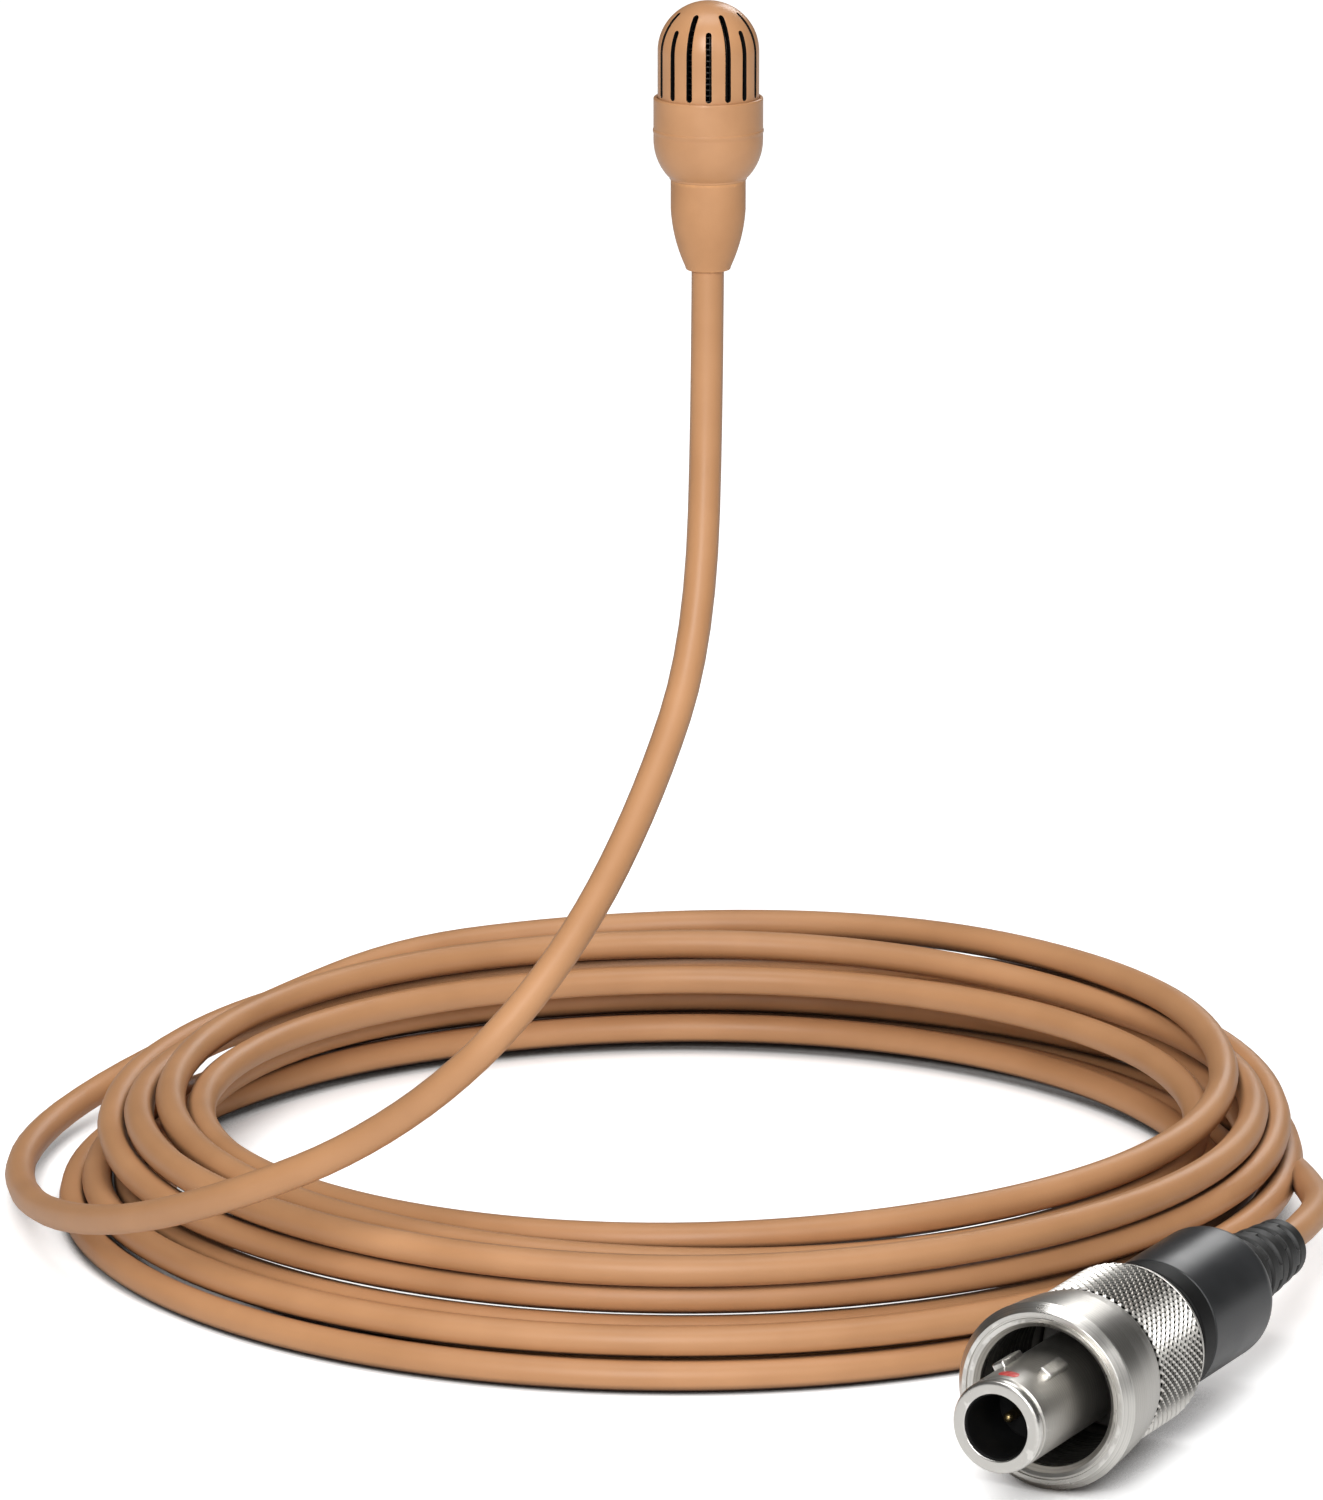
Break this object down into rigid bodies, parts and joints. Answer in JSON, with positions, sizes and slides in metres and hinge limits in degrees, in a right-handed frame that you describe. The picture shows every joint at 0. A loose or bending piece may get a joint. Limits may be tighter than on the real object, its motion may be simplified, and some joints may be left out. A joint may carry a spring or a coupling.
{
  "type": "lavalier microphone",
  "caption": "Tiny skin-tone clip-on microphone with a slotted dome cap, a thin cord in a loose coil and a round threaded multi-pin plug.",
  "frame": {"origin": "Middle of the straight part of the neck sleeve, where a clip grips the microphone head", "axes": "+Z along the head, out of the slotted cap; the cord's coil lies below, towards +Y, and -Y is the front; +X is to the right seen from the front"},
  "size_m": [0.0701, 0.0865, 0.0679],
  "materials": {
    "tan_housing": "satin skin-tone lacquer",
    "tan_rubber": "satin skin-tone elastomer",
    "tan_cord": "satin skin-tone jacket",
    "screen_mesh": "fine woven mesh",
    "black_rubber": "satin",
    "capsule_metal": "satin",
    "film": "thin polymer film",
    "brass_metal": "gold flash",
    "insulator_plastic": "moulded",
    "board": "circuit board",
    "component_plastic": "moulded",
    "copper_wire": "tinned copper",
    "nickel": "satin nickel plate with polished rims",
    "spring_steel": "satin",
    "red_paint": "gloss"
  },
  "bodies": {
    "root": {"rear_housing": "tan_housing", "front_collar": "tan_housing", "cap_seal": "black_rubber", "neck_sleeve": "tan_rubber", "capsule_can": "capsule_metal", "capsule_ring": "black_rubber", "diaphragm_ring": "capsule_metal", "diaphragm": "film", "spacer_ring": "film", "backplate": "brass_metal", "insulator_cup": "insulator_plastic", "preamp_board": "board", "transistor": "component_plastic", "cord_ferrule": "capsule_metal", "lead_wires": "copper_wire", "free_cord": "tan_cord", "cord_coil": "tan_cord", "plug_cord": "tan_cord", "cord_end": "tan_cord", "plug_shell": "nickel", "alignment_dot": "red_paint", "pin_insulator": "insulator_plastic", "contact_pins": "brass_metal", "plug_wires": "copper_wire", "collet_nut": "nickel", "cord_collet": "brass_metal", "plug_boot": "black_rubber", "strain_relief": "black_rubber"},
    "cap": {"mic_cap": "tan_housing", "cap_screen": "screen_mesh"},
    "nut_carrier": {"nut_washer": "spring_steel"},
    "nut": {"coupling_nut": "nickel"}
  },
  "joints": [
    {"name": "cap_pull", "type": "slide", "parent": "root", "child": "cap", "axis": [0, 0, 1], "range_m": [0, 0.008]},
    {"name": "nut_float", "type": "slide", "parent": "root", "child": "nut_carrier", "axis": [0.4771, 0.8789, 0], "range_m": [0, 0.0006]},
    {"name": "nut_spin", "type": "hinge", "parent": "nut_carrier", "child": "nut", "pos_m": [0.0181, -0.02215, -0.0536], "axis": [-0.4771, -0.8789, 0], "continuous": true}
  ]
}
